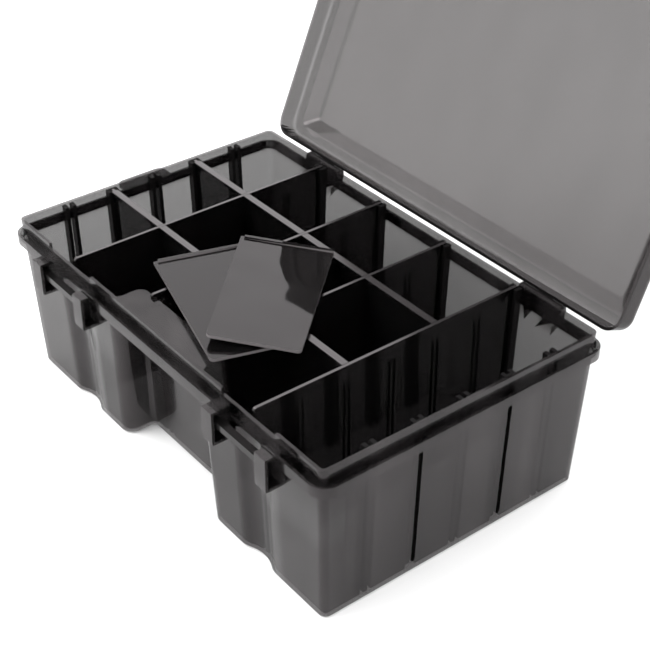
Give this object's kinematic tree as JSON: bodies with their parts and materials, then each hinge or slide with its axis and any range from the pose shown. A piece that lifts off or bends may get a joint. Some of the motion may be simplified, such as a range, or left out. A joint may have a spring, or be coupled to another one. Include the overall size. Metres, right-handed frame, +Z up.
{
  "type": "tackle box",
  "caption": "Smoke-tinted plastic tackle box with removable dividers, a hand recess in the front and a shallow hinged lid with snap latches.",
  "frame": {"origin": "centre of the tub's flat underside", "axes": "+Z up; +X along the front, towards the right end seen from the front; +Y from the hand recess to the hinges"},
  "size_m": [0.3726, 0.3665, 0.3306],
  "materials": {
    "tub": "polished, smoke tinted, see-through",
    "lid": "polished, smoke tinted, see-through",
    "divider": "polished, smoke tinted",
    "latch": "polished, black",
    "pin": "moulded, black"
  },
  "bodies": {
    "tub": {"tub": "tub", "hinge_pin_left": "pin", "hinge_pin_right": "pin", "long_divider_1": "divider", "long_divider_2": "divider", "long_divider_3": "divider", "long_divider_4": "divider", "short_divider_front_2": "divider", "short_divider_front_3": "divider", "short_divider_front_4": "divider", "short_divider_rear_3": "divider"},
    "lid": {"lid": "lid", "latch_pin_left": "pin", "latch_pin_right": "pin"},
    "latch_left": {"latch_left": "latch"},
    "latch_right": {"latch_right": "latch"},
    "short_divider_front_1": {"short_divider_front_1": "divider"},
    "short_divider_rear_1": {"short_divider_rear_1": "divider"},
    "short_divider_rear_2": {"short_divider_rear_2": "divider"},
    "short_divider_rear_4": {"short_divider_rear_4": "divider"},
    "spare_divider_lower": {"spare_divider_lower": "divider"},
    "spare_divider_upper": {"spare_divider_upper": "divider"}
  },
  "joints": [
    {"name": "lid_hinge", "type": "hinge", "parent": "tub", "child": "lid", "pos_m": [0, 0.1185, 0.1123], "axis": [-1, 0, 0], "range_deg": [-112.8, 0]},
    {"name": "latch_hinge_left", "type": "hinge", "parent": "lid", "child": "latch_left", "pos_m": [-0.1038, 0.21532, 0.32793], "axis": [-1, 0, 0], "range_deg": [-175.42, 0]},
    {"name": "latch_hinge_right", "type": "hinge", "parent": "lid", "child": "latch_right", "pos_m": [0.1038, 0.21532, 0.32793], "axis": [-1, 0, 0], "range_deg": [-175.42, 0]},
    {"name": "lift_front_1", "type": "slide", "parent": "tub", "child": "short_divider_front_1", "axis": [0, 0, 1], "range_m": [0, 0.125]},
    {"name": "lift_rear_1", "type": "slide", "parent": "tub", "child": "short_divider_rear_1", "axis": [0, 0, 1], "range_m": [0, 0.125]},
    {"name": "lift_rear_2", "type": "slide", "parent": "tub", "child": "short_divider_rear_2", "axis": [0, 0, 1], "range_m": [0, 0.125]},
    {"name": "lift_rear_4", "type": "slide", "parent": "tub", "child": "short_divider_rear_4", "axis": [0, 0, 1], "range_m": [0, 0.125]},
    {"name": "lift_spare_lower", "type": "slide", "parent": "tub", "child": "spare_divider_lower", "axis": [0, 0, 1], "range_m": [0, 0.06]},
    {"name": "lift_spare_upper", "type": "slide", "parent": "spare_divider_lower", "child": "spare_divider_upper", "axis": [0, 0, 1], "range_m": [0, 0.06]}
  ]
}
